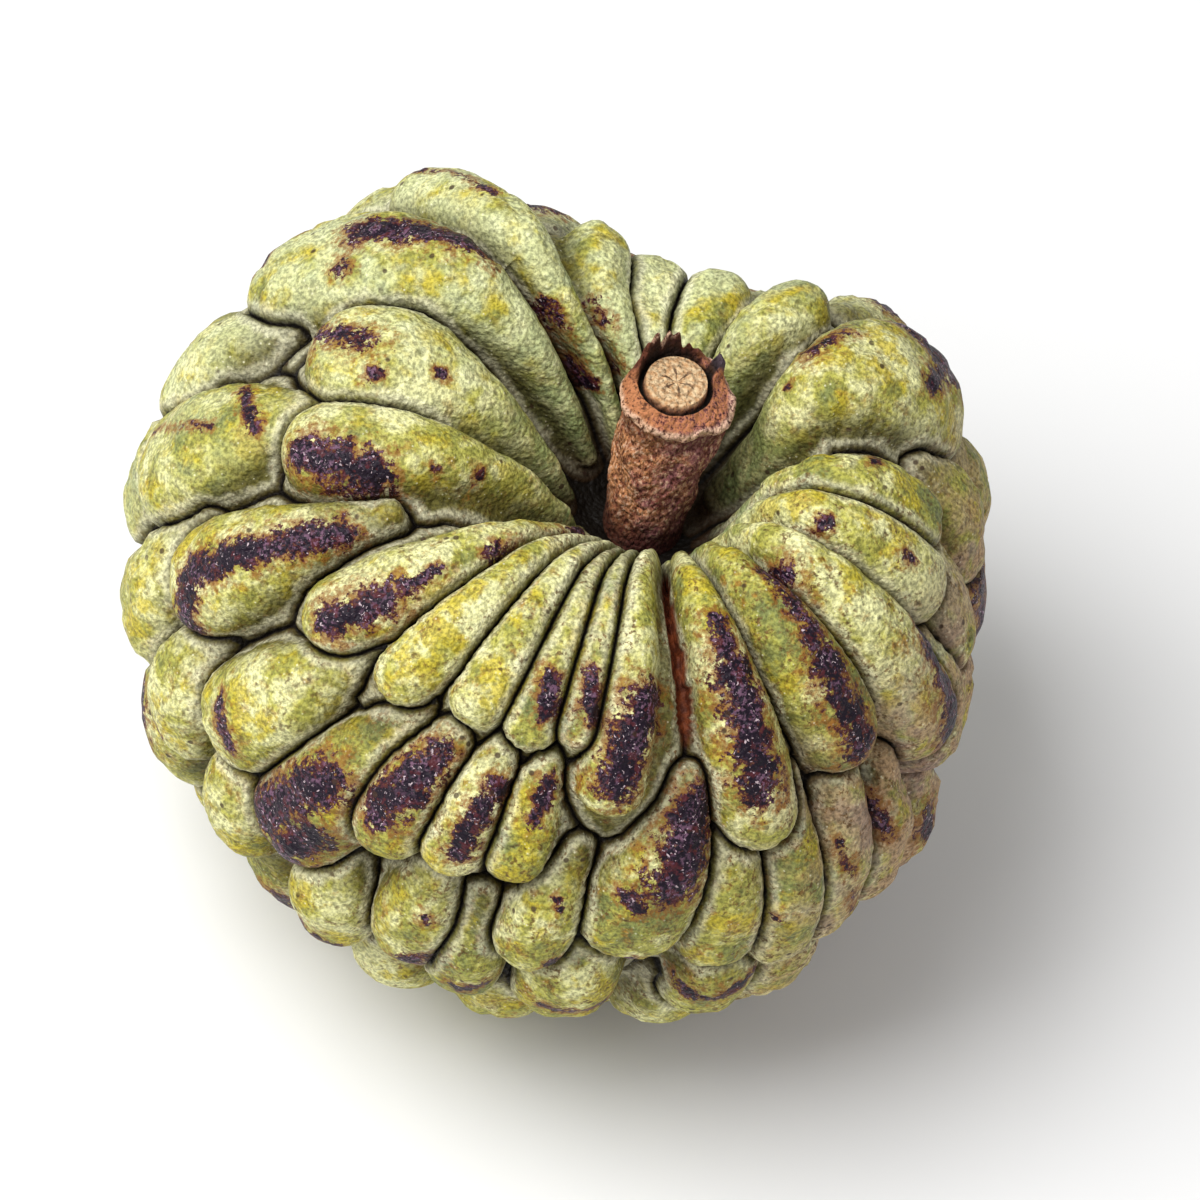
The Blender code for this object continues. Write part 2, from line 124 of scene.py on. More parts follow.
NET_LEVEL = 7                    # subdivisions of the net that the skin starts from
FINE_CAP_ANGLE = 32.0            # degrees from its top within which it is finer
TOP_WEIGHT = 1.9                 # how closely the net is drawn over the top and lower down
LOW_WEIGHT = 0.8
OUTLINE_SAMPLES = 1500
TOP_FADE = (30, 70)              # skin distances over which the net gets coarser
CUT_STEPS = 6                    # halvings that find where an edge crosses a crease
SPINE_POINTS = 9
NORMAL_STEP = 0.01
GROOVE_FLOOR = -0.45
SKIRT_SLOPE = 0.3
FULL_HALF_WIDTH = 5.5            # narrower carpels stand less proud
CUT_MARGIN = 0.12                # no cut nearer than this share of an edge to its end
CREASE_DEPTH = 0.7               # of the narrow slots along the creases
CREASE_WIDTH = 0.7
CREASE_FROM = (2, 12)            # skin distances over which the slots come in
BROAD_LUMP, BROAD_LUMP_SIZE = 0.45, 5.5
FINE_LUMP, FINE_LUMP_SIZE = 0.2, 2.1
FINE_LUMP_SHIFT = 7.0            # shifts that keep the noises of lumps and wrinkles apart
WRINKLE, WRINKLE_SIZE = 0.3, 4.5
WRINKLE_SHARPNESS = 5
WRINKLE_SHIFT = 3.0
LUMP_FADE = (0, 2)               # distances from a crease over which they all come in
CRACK_SIDES = (5, 6)             # the open crack runs between these two carpels, counted from 0
CRACK_HALF_WIDTH = (0.6, 1.15)
CRACK_DEPTH = 1.3
CRACK_FROM = (4, 10)             # skin distances over which the crack opens and closes
CRACK_TO = (38, 47)
SHARP_ANGLE = 60

# Where the skin's colours change: distance from a crease, skin distances and azimuths
CREASE_LIMIT = 8                 # distances from a crease are stored up to here
# skin distances over which the painted shade in the pit fades out
PIT_SHADE_SPAN = (1, 8)
ROOT_FRESH = (4, 24)
CAST_START = (290, 325)          # the brown cast of the right side
CAST_END = (5, 50)
CAST_LOW = (38, 58)
WORN_AZIMUTH = 300               # the side with the most brown on its skin

MARK_OUTSIDE = -3.0
HIDDEN_MARK_SHARE = 0.75         # of the hidden carpels have a mark
HIDDEN_MARK_SPAN = (0.3, 0.9)    # shares of the carpel's length that it lies between
HIDDEN_MARK_ASIDE = 0.5          # degrees aside at most for each millimetre of half width
HIDDEN_MARK_WIDTH = (0.25, 0.5)  # shares of the carpel's half width
HIDDEN_MARK_STRENGTH = (0.7, 1.0)
HIDDEN_MARK_LENGTH = 0.5         # added, so that no mark is a point

# Dark marks by carpel number, or 0 for any carpel that they cross: azimuth and skin
# distance of one end and of the other, half width, and how dark the middle is
MARKS = (
    (1, 246, 14, 241, 27, 1.1, 0.75), (1, 235, 34, 235, 35, 0.8, 0.6),
    (1, 228, 42, 232.5, 37, 1.9, 1.0), (1, 236, 32, 233, 36, 0.9, 0.7),
    (4, 264.6, 36.6, 265.5, 39.9, 1.2, 0.8), (5, 271.3, 35.5, 272.6, 39.2, 1.3, 0.75),
    (6, 281, 37.5, 277.5, 45.6, 2.1, 1.0), (7, 298, 35.3, 299.3, 47.5, 2.3, 1.0),
    (7, 296.8, 30, 298, 35, 1.3, 0.8), (0, 317, 26.8, 315.2, 37.5, 1.6, 0.95),
    (0, 315.2, 37.5, 316.9, 48.3, 1.9, 1.0), (9, 338, 45.5, 336.5, 58, 2.2, 0.95),
    (10, 336, 27, 336.5, 28, 0.9, 0.7), (10, 343, 37.5, 344, 38.5, 1.0, 0.55),
    (11, 1, 30.7, 2, 31.5, 0.9, 0.6), (44, 6, 41.7, 6.5, 42.2, 0.7, 0.8),
    (12, 42, 42, 35, 47, 2.8, 1.0), (12, 33, 44, 27, 40, 1.6, 0.8),
    (12, 38, 24, 40, 30, 1.7, 0.4), (12, 32, 19, 32, 20, 0.5, 0.6),
    (0, 113, 21.3, 118, 10.7, 0.7, 0.7), (17, 134.5, 45, 131.5, 33, 0.8, 0.75),
    (18, 154, 37.5, 149, 31.5, 1.9, 1.0), (18, 148.5, 31, 138, 25.5, 1.9, 1.0),
    (18, 137, 24, 134.4, 19.7, 1.1, 0.9), (0, 134.4, 19.7, 132, 9.6, 0.6, 0.85),
    (18, 162, 36.4, 162.5, 37, 1.3, 0.5), (18, 160, 49, 152, 47, 0.9, 0.8),
    (19, 175.5, 36.8, 178.6, 30.9, 2.3, 0.42), (19, 186.8, 29.3, 187, 30, 0.9, 0.8),
    (19, 183.6, 23.4, 184, 24, 0.8, 0.6), (20, 201, 36.5, 210, 31, 2.0, 1.0),
    (20, 214.5, 20.5, 215, 21, 0.6, 0.7), (20, 212, 25, 212.3, 25.5, 0.6, 0.5),
    (21, 184, 43, 191.6, 41.6, 1.0, 0.75), (21, 183, 56.2, 189.6, 45.8, 0.8, 0.5),
    (23, 216, 36.6, 211.6, 44.1, 1.5, 1.0), (23, 211.6, 44.1, 207.4, 51.8, 1.7, 1.0),
    (23, 208.5, 53.2, 211, 58.3, 1.8, 1.0), (25, 222.5, 57.8, 226, 61.2, 1.3, 0.75),
    (26, 210.4, 71.1, 214, 73.1, 1.2, 0.65), (27, 233, 66, 240, 56.1, 2.7, 1.0),
    (27, 234, 74, 241, 63.1, 2.4, 1.0), (28, 248, 54.7, 252, 48.3, 2.3, 1.0),
    (29, 259, 56, 261.5, 48.4, 1.4, 1.0), (30, 267.6, 50.5, 269, 46.6, 1.2, 0.8),
    (31, 290.4, 49.5, 286.8, 57, 2.8, 1.0), (31, 281.5, 58.5, 283, 60, 1.1, 0.8),
    (31, 283, 68, 283.3, 68.5, 0.9, 0.6), (32, 272.8, 60.2, 273.2, 61, 0.8, 0.65),
    (32, 273.5, 69.6, 273.8, 70.2, 0.9, 0.85), (33, 255.4, 76.7, 260, 75.2, 1.4, 0.8),
    (33, 257, 67.4, 257.5, 68, 1.0, 0.5), (34, 241.5, 80.7, 245.4, 81.5, 1.0, 0.85),
    (36, 266, 78, 262, 79.8, 1.2, 0.6), (37, 273.5, 79.8, 281.6, 79.5, 1.0, 0.7),
    (45, 292.5, 78.7, 301.7, 77.2, 1.3, 0.7), (39, 301.7, 64.8, 302, 65.3, 0.8, 0.4),
    (0, 320, 57.7, 321.8, 63.3, 1.5, 0.6), (40, 312.2, 59.2, 315.3, 72.7, 1.2, 0.45),
)

# Outline of the stalk: radius, and height above the foot of the pit. The last points
# are the cut end with the gap between bark and wood
STALK_OUTLINE = ((0.0, -3.0), (4.1, -3.0), (4.1, 0.6), (4.2, 3.0), (4.4, 6.0), (4.6, 9.0), (4.7, 12.0),
                 (4.6, 15.4), (4.7, 17.2), (5.2, 17.8), (5.3, 18.4), (4.9, 19.0), (4.3, 19.6), (3.9, 20.0),
                 (3.7, 19.2), (3.3, 19.2), (3.1, 20.4), (1.4, 20.5), (0.0, 20.3))
STALK_SIDES = 160
STALK_ROWS = 150
STALK_LEAN = (1.0, 6.0)          # degrees towards +X and towards +Y
BARK_FROM = (0.6, 3)             # heights over which the bark's relief comes in
BARK_RADIUS = (3.8, 4.1)         # and radii over which it does
BARK_RIDGE = 0.15
# Waves round the bark: how many, their turn per millimetre of height, start and strength
BARK_WAVES = ((5, 0.5, 0, 1.0), (9, -0.8, 1, 0.7), (3, 1.1, 2, 0.6))
BARK_GRIT = ((1.3, 0.12), (0.7, 0.12), (0.4, 0.07))      # sizes and depths of the grit
LIP_RADIUS = (4.9, 5.4)          # radii and heights over which the lip of the rim comes in
LIP_HEIGHT = (17, 18)
LIP_WAVE = 0.3
LIP_RIPPLES = ((7, 1), (13, 0))  # waves round it: how many, and where they start
BULGE_AZIMUTH = 5                # where the bark swells under the cut end
BULGE = 1.1
BULGE_FROM = (8, 14)
BULGE_TO = (18, 19.8)
TORN_RIM_AZIMUTH = 122
TORN_RIM_HEIGHT = 3.0
TORN_RIM_FROM = (18.5, 19.8)
RIM_RADIUS = (3.6, 3.85)
TORN_TEETH = 11
TOOTH_SHARE = 0.25
SCRAP_AZIMUTH = 38               # a small scrap of bark stands up and out here
SCRAP_HALF_WIDTH = 10
SCRAP_HEIGHT = 1.9
SCRAP_OUT = 0.9
WOOD_RADIUS = (3.05, 3.25)       # radii over which the cut wood ends
WOOD_HEIGHT = (19.6, 20.0)
HOLLOW_RADIUS = (3.1, 3.3)       # radii over which the gap round it starts
HOLLOW_EDGE = (3.7, 3.95)        # and ends
HOLLOW_HEIGHT = (18.8, 19.2)

FLOOR_SIZE = 6.0                 # metres, as are the view's distance and width
FLOOR_GAP = 0.05                 # millimetres between the floor and the fruit
VIEW_TARGET = (5.3, 4.8, 37.1)
VIEW_ELEVATION = 54
VIEW_ROLL = 12
VIEW_DISTANCE = 1.2
VIEW_WIDTH = 0.1225
SENSOR_WIDTH = 36.0
WORLD_STRENGTH = 0.4
# Soft lights: azimuth and elevation that the light comes from, distance and side of the
# square in metres, and power in watts
LIGHTS = (("key", 205, 58, 0.9, 0.65, 10.0), ("fill", 330, 40, 1.0, 0.8, 0.7))


def srgb(red, green, blue):
    """A colour as seen on screen, from 0 to 255, as the linear colour that nodes take."""
    shares = np.array((red, green, blue)) / 255
    linear = np.where(shares <= 0.04045, shares / 12.92, ((shares + 0.055) / 1.055) ** 2.4)
    return (*linear.tolist(), 1.0)


GREY_GREEN = srgb(124, 130, 72)
YELLOW_GREEN = srgb(172, 168, 74)
PALE_GREEN = srgb(222, 220, 160)
CHARTREUSE = srgb(190, 172, 44)
OCHRE = srgb(150, 108, 38)
# painted shade: the olive that the skin darkens to down the domes' sides towards the creases
SHADE_OLIVE = srgb(74, 66, 28)
ROOT_GREEN = srgb(150, 166, 108)
# partly painted light: the paler green of the back left side, partly the skin's own greener tone
FRESH_AND_LIT_GREEN = srgb(206, 212, 164)
CREAM = srgb(244, 240, 208)
TAN = srgb(172, 142, 106)
MAUVE = srgb(138, 110, 108)
OCHRE_BROWN = srgb(138, 88, 34)
BROWN = srgb(104, 72, 34)
MARK_EDGE = srgb(82, 36, 32)
MARK_CORE = srgb(22, 10, 26)
MARK_RUST = srgb(96, 36, 40)
MARK_BLOOM = srgb(130, 94, 118)
# painted highlight: the pinkish-white glints inside the marks
MARK_GLINT_HIGHLIGHT = srgb(214, 192, 198)
SPECK = srgb(60, 40, 28)
# painted shade in the pit round the stalk
PIT_SHADE = srgb(44, 20, 12)
# painted shade: the brown band along each crease
SEAM_SHADE = srgb(44, 28, 10)
# painted shade: near black, for the narrowest creases, the gaps and the stalk's hollow
PAINTED_SHADE_BLACK = srgb(16, 10, 5)
CRACK = srgb(130, 66, 36)
CRACK_DARK = srgb(84, 38, 22)
BARK_RED = srgb(128, 60, 48)
BARK_TAN = srgb(204, 140, 92)
BARK_MAUVE = srgb(164, 106, 108)
BARK_PALE = srgb(236, 196, 166)
BARK_DARK = srgb(66, 26, 26)
# painted shade at the stalk's foot down in the pit
BARK_FOOT_SHADE = srgb(64, 22, 16)
RIM_TAN = srgb(196, 128, 86)
TORN_RED = srgb(74, 24, 20)
SCRAP_GREY = srgb(88, 72, 82)
WOOD_PALE = srgb(238, 208, 164)
WOOD_TAN = srgb(208, 160, 112)
WOOD_CRACK = srgb(70, 38, 24)
FLOOR_COLOUR = srgb(240, 240, 240)


def smooth_curve(knots, points, where):
    """Values read off a smooth cubic through the points at the knots."""
    knots, points = np.asarray(knots, float), np.asarray(points, float)
    slopes = np.gradient(points, knots, axis=0)
    left = np.clip(np.searchsorted(knots, where) - 1, 0, len(knots) - 2)
    gap = knots[left + 1] - knots[left]
    share = (where - knots[left]) / gap
    if points.ndim > 1:
        gap, share = gap[:, None], share[:, None]
    rest = 1 - share
    ends = points[left] * rest ** 2 * (1 + 2 * share) + points[left + 1] * share ** 2 * (3 - 2 * share)
    return ends + gap * share * rest * (slopes[left] * rest - slopes[left + 1] * share)


def smooth_step(low, high, value):
    """A smooth rise from 0 to 1 as the value goes from low to high."""
    share = np.clip((value - low) / (high - low), 0, 1)
    return share * share * (3 - 2 * share)


def unit(vectors):
    """The vectors at length 1."""
    return vectors / np.linalg.norm(vectors, axis=1, keepdims=True)


def around(values, azimuth):
    """A smooth closed curve through values given every 45 degrees, read at the azimuths."""
    step = 360 / len(values)
    padded = values[-2:] + values + values[:3]
    knots = step * np.arange(-2, len(values) + 3)
    return smooth_curve(knots, padded, np.mod(azimuth, 360))


class Body:
    """The smooth body under the carpels, in millimetres."""

    def __init__(self):
        outline = np.array(OUTLINE)
        knots = np.concatenate(([0], np.cumsum(np.hypot(*np.diff(outline, axis=0).T))))
        curve = smooth_curve(knots, outline, np.linspace(0, knots[-1], OUTLINE_SAMPLES))
        curve[:, 0] = np.maximum(curve[:, 0], 0)
        self.radius, self.height = curve.T
        steps = np.hypot(*np.diff(curve, axis=0).T)
        length = np.concatenate(([0], np.cumsum(steps)))
        foot = length[np.argmax(self.radius > STALK_FOOT_RADIUS)]
        self.distance = length - foot
        weight = TOP_WEIGHT + (LOW_WEIGHT - TOP_WEIGHT) * smooth_step(*TOP_FADE, self.distance[1:])
        area = steps * (self.radius[1:] + self.radius[:-1]) * weight
        share = np.concatenate(([0], np.cumsum(area))) / area.sum()
        self.polar = np.arccos(1 - 2 * np.minimum(share, 1))

    def point(self, azimuth, distance):
        """Points at the azimuths and skin distances."""
        radius = np.interp(distance, self.distance, self.radius)
        height = np.interp(distance, self.distance, self.height)
        reach = 1 + (around(REACH, azimuth) - 1) * np.clip(radius / FULL_REACH_RADIUS, 0, 1)
        high = np.clip(height / SHOULDER_HEIGHT, 0, 1) ** 2
        high *= np.clip((radius - SHOULDER_FROM) / (SHOULDER_TO - SHOULDER_FROM), 0, 1)
        turn = np.radians(azimuth)
        inside = 1 - smooth_step(*PIT_SLIDE, distance)
        return np.stack((radius * reach * np.cos(turn) + PIT_OFFSET[0] * inside,
                         radius * reach * np.sin(turn) + PIT_OFFSET[1] * inside,
                         height + around(SHOULDER_RISE, azimuth) * high), axis=-1)

    def place(self, directions):
        """Azimuths and skin distances of unit directions, which land closer together over the top."""
        azimuth = np.degrees(np.arctan2(directions[:, 1], directions[:, 0]))
        polar = np.arccos(np.clip(directions[:, 2], -1, 1))
        return azimuth, np.interp(polar, self.polar, self.distance)

    def normals(self, directions):
        """Outward normals of the body where the unit directions land."""
        side = np.cross(directions, np.roll(directions, 1, axis=1) + (0.3, 0.1, 0.2))
        side /= np.linalg.norm(side, axis=1, keepdims=True)
        slopes = []
        for tangent in (side, np.cross(directions, side)):
            ends = [unit(directions + way * NORMAL_STEP * tangent) for way in (1, -1)]
            slopes.append(self.point(*self.place(ends[0])) - self.point(*self.place(ends[1])))
        return unit(np.cross(slopes[0], slopes[1]))


BODY = Body()


class Carpels:
    """The spines and sizes of all carpels, and the height of their domes over any point."""

    def __init__(self):
        draw = np.random.default_rng(SEED)
        self.places, self.spines, self.widths = [], [], []
        self.crests, self.fullness, self.middles, self.spans = [], [], [], []
        for row in FIRST_WHORL:
            self.add(row, FIRST_ROOT, 1 + FIRST_VARIETY * draw.uniform(-1, 1))
        for row in LOWER_CARPELS:
            self.add(row, LOWER_ROOT, 1 + LOWER_VARIETY * draw.uniform(-1, 1))
        for index, (root, tip, half_width, count, first, last) in enumerate(HIDDEN_ROWS):
            places = 360 / count * (np.arange(2 * count) + 0.5 * (index % 2))
            for azimuth in places[(places >= first) & (places <= last)]:
                azimuth += HIDDEN_DRIFT * draw.uniform(-1, 1) * 360 / count
                slip = HIDDEN_SLIP * draw.uniform(-1, 1)
                swing = HIDDEN_SWING * draw.uniform(-1, 1)
                row = (azimuth, root + slip, azimuth + swing, tip + slip, half_width)
                self.add(row, LOWER_ROOT, 1 + LOWER_VARIETY * draw.uniform(-1, 1))
        self.add(BLOSSOM_END, END_ROOT, 1.0)

    def add(self, row, at_root, proud):
        """One carpel: narrow and low at its root, broad and proud at its rounded tip."""
        root_azimuth, root_distance, tip_azimuth, tip_distance, half_width = row
        root_crest, root_width = at_root
        self.places.append(row)
        share = np.linspace(0, 1, SPINE_POINTS)
        end = max(tip_distance - ROUND_END * half_width, root_distance + 1)
        spine = BODY.point(root_azimuth + (tip_azimuth - root_azimuth) * share,
                           root_distance + (end - root_distance) * share)
        self.spines.append(spine)
        spread = np.hypot(spine[:, 0], spine[:, 1])
        spread = np.clip(spread / spread[-2], 0, 1)
        taper = root_width + (1 - root_width) * smooth_step(*WIDTH_RISE, share)
        self.widths.append(half_width * taper * spread)
        self.fullness.append(np.clip(half_width / FULL_HALF_WIDTH, LEAST_FULLNESS, 1))
        self.crests.append(proud * (root_crest + (1 - root_crest) * smooth_step(*CREST_RISE, share)))
        middle = spine.mean(axis=0)
        self.middles.append(middle)
        self.spans.append(np.linalg.norm(spine - middle, axis=1).max() + REACH_OF_DOME * half_width)

    def heights(self, points):
        """Height of every dome over every point, as shares of the relief. The last column is
        the floor of the grooves."""
        table = np.full((len(points), len(self.spines) + 1), -1.0)
        table[:, -1] = GROOVE_FLOOR
        for number, spine in enumerate(self.spines):
            near = np.linalg.norm(points - self.middles[number], axis=1) < self.spans[number]
            spots = points[near]
            ratio = np.full(len(spots), np.inf)
            crest = np.ones(len(spots))
            widths, crests = self.widths[number], self.crests[number]
            for step in range(SPINE_POINTS - 1):
                axis = spine[step + 1] - spine[step]
                share = np.clip((spots - spine[step]) @ axis / (axis @ axis), 0, 1)
                aside = np.linalg.norm(spots - spine[step] - share[:, None] * axis, axis=1)
                here = aside / (widths[step] + share * (widths[step + 1] - widths[step]))
                closer = here < ratio
                ratio[closer] = here[closer]
                crest[closer] = (crests[step] + share * (crests[step + 1] - crests[step]))[closer]
            dome = np.maximum(1 - ratio ** DOME_POWER, 0) ** DOME_EDGE
            foot = crest * (1 - self.fullness[number])
            above = foot + (crest - foot) * dome
            table[near, number] = np.where(ratio < 1, above, foot + SKIRT_SLOPE * (1 - ratio))
        return table


CARPELS = Carpels()


def relief(distance):
    """Depth from crest to groove floor: less in the pit and at the blossom end."""
    open_side = PIT_RELIEF + (RELIEF - PIT_RELIEF) * smooth_step(*PIT_FADE, distance)
    return open_side + (END_RELIEF - RELIEF) * smooth_step(*END_FADE, distance)


def highest_dome(directions):
    """The number and the height of the highest dome where the directions land."""
    heights = CARPELS.heights(BODY.point(*BODY.place(unit(directions))))
    return heights.argmax(axis=1), heights.max(axis=1)


def make_net():
    """A unit icosphere with a finer net over the top, where the carpels are narrow."""
    net = bmesh.new()
    bmesh.ops.create_icosphere(net, subdivisions=NET_LEVEL, radius=1.0)
    lowest = math.cos(math.radians(FINE_CAP_ANGLE))
    cap = [edge for edge in net.edges if min(vert.co.z for vert in edge.verts) > lowest]
    bmesh.ops.subdivide_edges(net, edges=cap, cuts=1, use_grid_fill=True)
    bmesh.ops.triangulate(net, faces=net.faces[:])
    return net


def cut_along_creases(net):
    """Splits the net where the highest dome changes. Returns the new points on the creases, and
    those on the crease that has cracked open."""
    owner, _ = highest_dome(np.array([vert.co for vert in net.verts]))
    net.verts.index_update()
    crossed = [edge for edge in net.edges if owner[edge.verts[0].index] != owner[edge.verts[1].index]]
    starts = np.array([edge.verts[0].co for edge in crossed])
    ways = np.array([edge.verts[1].co for edge in crossed]) - starts
    home = np.array([owner[edge.verts[0].index] for edge in crossed])
    low, high = np.zeros(len(crossed)), np.ones(len(crossed))
    for _ in range(CUT_STEPS):
        middle = (low + high) / 2
        here, _ = highest_dome(starts + ways * middle[:, None])
        low = np.where(here == home, middle, low)
        high = np.where(here == home, high, middle)
    torn = [sorted((owner[edge.verts[0].index], owner[edge.verts[1].index])) == list(CRACK_SIDES)
            for edge in crossed]
    cuts = []
    for edge, share in zip(crossed, np.clip(low, CUT_MARGIN, 1 - CUT_MARGIN)):
        cuts.append(bmesh.utils.edge_split(edge, edge.verts[0], share)[1])
    bmesh.ops.connect_verts(net, verts=cuts)
    bmesh.ops.triangulate(net, faces=net.faces[:])
    net.verts.index_update()
    numbers = np.array([vert.index for vert in cuts])
    return numbers, numbers[torn]


def noise_at(points, size, offset=0.0):
    """Smooth noise from -1 to 1 whose features are about as wide as the size."""
    return np.array([noise.noise(point) for point in (points / size + offset).tolist()])


def nearest(points, targets):
    """Distance from every point to the nearest target."""
    tree = KDTree(len(targets))
    for index, target in enumerate(targets):
        tree.insert(target, index)
    tree.balance()
    return np.array([tree.find(point)[2] for point in points.tolist()])


def mark_depth(points, owner):
    """How deep every point lies in a dark mark: 1 in its middle, 0 at its edge, below 0 outside."""
    depth = np.full(len(points), MARK_OUTSIDE)
    for number, azimuth, distance, end_azimuth, end_distance, half_width, strength in all_marks():
        start = BODY.point(azimuth, distance)
        axis = BODY.point(end_azimuth, end_distance) - start
        mine = (owner == number - 1) | (number == 0)
        spots = points[mine]
        share = np.clip((spots - start) @ axis / (axis @ axis), 0, 1)
        aside = np.linalg.norm(spots - start - share[:, None] * axis, axis=1)
        depth[mine] = np.maximum(depth[mine], strength - aside / half_width)
    return depth


def all_marks():
    """The marks of the photographed side, then drawn ones on about three quarters of the hidden carpels."""
    draw = np.random.default_rng(SEED + 1)
    rows = list(MARKS)
    for number in range(len(FIRST_WHORL) + len(LOWER_CARPELS) + 1, len(CARPELS.places) + 1):
        azimuth, distance, end_azimuth, end_distance, half_width = CARPELS.places[number - 1]
        if draw.uniform() > HIDDEN_MARK_SHARE:
            continue
        start, end = sorted(draw.uniform(*HIDDEN_MARK_SPAN, 2))
        aside = HIDDEN_MARK_ASIDE * draw.uniform(-1, 1) * half_width
        rows.append((number, azimuth + (end_azimuth - azimuth) * start + aside,
                     distance + (end_distance - distance) * start,
                     azimuth + (end_azimuth - azimuth) * end + aside,
                     distance + (end_distance - distance) * end + HIDDEN_MARK_LENGTH,
                     draw.uniform(*HIDDEN_MARK_WIDTH) * half_width, draw.uniform(*HIDDEN_MARK_STRENGTH)))
    return rows


def set_values(mesh, values):
    """Stores one number a point under each name, for the materials to read."""
    for name, numbers in values.items():
        mesh.attributes.new(name, "FLOAT", "POINT").data.foreach_set("value", numbers.astype(np.float32))


def make_fruit():
    """The whole skin as one closed mesh, with the numbers that colour it."""
    net = make_net()
    cuts, torn = cut_along_creases(net)
    directions = unit(np.array([vert.co for vert in net.verts]))
    azimuth, distance = BODY.place(directions)
    body_points = BODY.point(azimuth, distance)
    table = CARPELS.heights(body_points)
    owner, height = table.argmax(axis=1), table.max(axis=1)
    outward = BODY.normals(directions)
    points = body_points + outward * (relief(distance) * (height - 1))[:, None]
    crease = nearest(points, points[cuts])
    lumps = BROAD_LUMP * noise_at(points, BROAD_LUMP_SIZE)
    lumps += FINE_LUMP * noise_at(points, FINE_LUMP_SIZE, FINE_LUMP_SHIFT)
    folds = np.abs(noise_at(points, WRINKLE_SIZE, WRINKLE_SHIFT))
    lumps -= WRINKLE * np.clip(1 - WRINKLE_SHARPNESS * folds, 0, 1)
    lumps *= smooth_step(*LUMP_FADE, crease)
    slot = CREASE_DEPTH * np.clip(1 - crease / CREASE_WIDTH, 0, 1) ** 2
    slot *= smooth_step(*CREASE_FROM, distance)
    crack = 1 - smooth_step(*CRACK_HALF_WIDTH, nearest(points, points[torn]))
    crack *= smooth_step(*CRACK_FROM, distance) * (1 - smooth_step(*CRACK_TO, distance))
    points += outward * (lumps - slot * (1 - crack) - CRACK_DEPTH * crack)[:, None]
    points[:, 2] = np.maximum(points[:, 2] - FOOT_CUT, 0)
    points[:, :2] -= CENTRE
    draw = np.random.default_rng(SEED + 2)
    tint = draw.uniform(-1, 1, len(CARPELS.spines) + 1)[owner]
    floor = owner == len(CARPELS.spines)
    turn = np.mod(azimuth, 360)
    cast = smooth_step(*CAST_START, turn) + 1 - smooth_step(*CAST_END, turn)
    values = {
        "crease": np.minimum(crease, CREASE_LIMIT),
        "crest": height,
        "marks": mark_depth(body_points, owner),
        "tint": tint,
        # how deep in the pit each point lies, for the painted shade there
        "pit": 1 - smooth_step(*PIT_SHADE_SPAN, distance),
        "root": 1 - smooth_step(*ROOT_FRESH, distance),
        "cast": cast * smooth_step(*CAST_LOW, distance),
        "wear": (1 + np.cos(np.radians(azimuth - WORN_AZIMUTH))) / 2,
        "crack": crack,
        "gap": floor.astype(float),
    }
    for vert, point in zip(net.verts, points):
        vert.co = point * MM
    return add_piece("fruit_skin", net, values, skin_material())


def add_piece(name, net, values, material):
    """A smooth-shaded mesh object from a bmesh, with its numbers and its material."""
    bmesh.ops.recalc_face_normals(net, faces=net.faces[:])
    mesh = bpy.data.meshes.new(name)
    net.to_mesh(mesh)
    net.free()
    mesh.shade_smooth()
    mesh.set_sharp_from_angle(angle=math.radians(SHARP_ANGLE))
    set_values(mesh, values)
    mesh.materials.append(material)
    piece = bpy.data.objects.new(name, mesh)
    bpy.context.scene.collection.objects.link(piece)
    return piece


